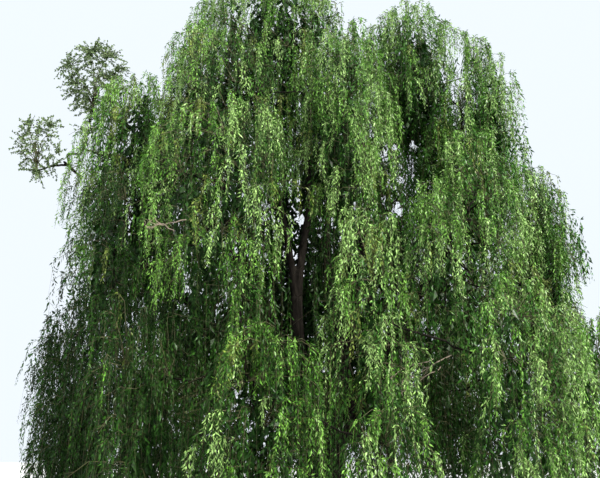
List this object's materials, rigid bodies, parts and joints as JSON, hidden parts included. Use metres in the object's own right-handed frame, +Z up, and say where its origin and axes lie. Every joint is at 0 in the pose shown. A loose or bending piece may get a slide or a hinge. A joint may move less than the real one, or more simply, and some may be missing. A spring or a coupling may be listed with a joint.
{
  "type": "weeping willow tree",
  "caption": "Mature weeping willow in full leaf: a short buttressed trunk forks into rising stems and arching boughs that carry a domed crown of hanging curtains of narrow green leaves.",
  "frame": {"origin": "centre of the trunk's flat cut at ground level", "axes": "+Z up the trunk, +X to the right and +Y to the rear as seen from the front"},
  "size_m": [15.9251, 14.3572, 15.55],
  "materials": {
    "bark": "deeply furrowed grey-brown bark, matt",
    "foliage": "narrow mid-green leaves with paler undersides, satin"
  },
  "bodies": {
    "root": {"cascade_centre": "foliage", "cascade_slim": "foliage", "cascade_front_left": "foliage", "cascade_left": "foliage", "cascade_front_right": "foliage", "cascade_right": "foliage", "skirt_front_left": "foliage", "skirt_front": "foliage", "skirt_front_right": "foliage", "skirt_right_front": "foliage", "skirt_recess": "foliage", "skirt_left_front": "foliage", "skirt_left": "foliage", "dome_centre": "foliage", "dome_right": "foliage", "dome_far_right": "foliage", "dome_front": "foliage", "dome_front_left": "foliage", "dome_left": "foliage", "dome_back_left": "foliage", "dome_back": "foliage", "dome_back_right": "foliage", "shoulder_right": "foliage", "spray_left_high": "foliage", "spray_left_low": "foliage", "cascade_right_back": "foliage", "cascade_back_right": "foliage", "cascade_back": "foliage", "cascade_back_left": "foliage", "cascade_left_back": "foliage", "skirt_right": "foliage", "skirt_right_side": "foliage", "skirt_right_back": "foliage", "skirt_back_right": "foliage", "skirt_back": "foliage", "skirt_back_left": "foliage", "skirt_left_back": "foliage", "skirt_left_side": "foliage", "trunk": "bark", "stem_left": "bark", "stem_left_fork_a": "bark", "stem_left_fork_b": "bark", "stem_right": "bark", "stem_right_fork_a": "bark", "stem_right_fork_b": "bark", "bough_back": "bark", "bough_back_left": "bark", "bough_back_right": "bark", "bough_left": "bark", "bough_right": "bark", "bough_front_left": "bark", "bough_front_right": "bark", "bough_front": "bark", "shoot_left_low": "bark"}
  },
  "joints": []
}
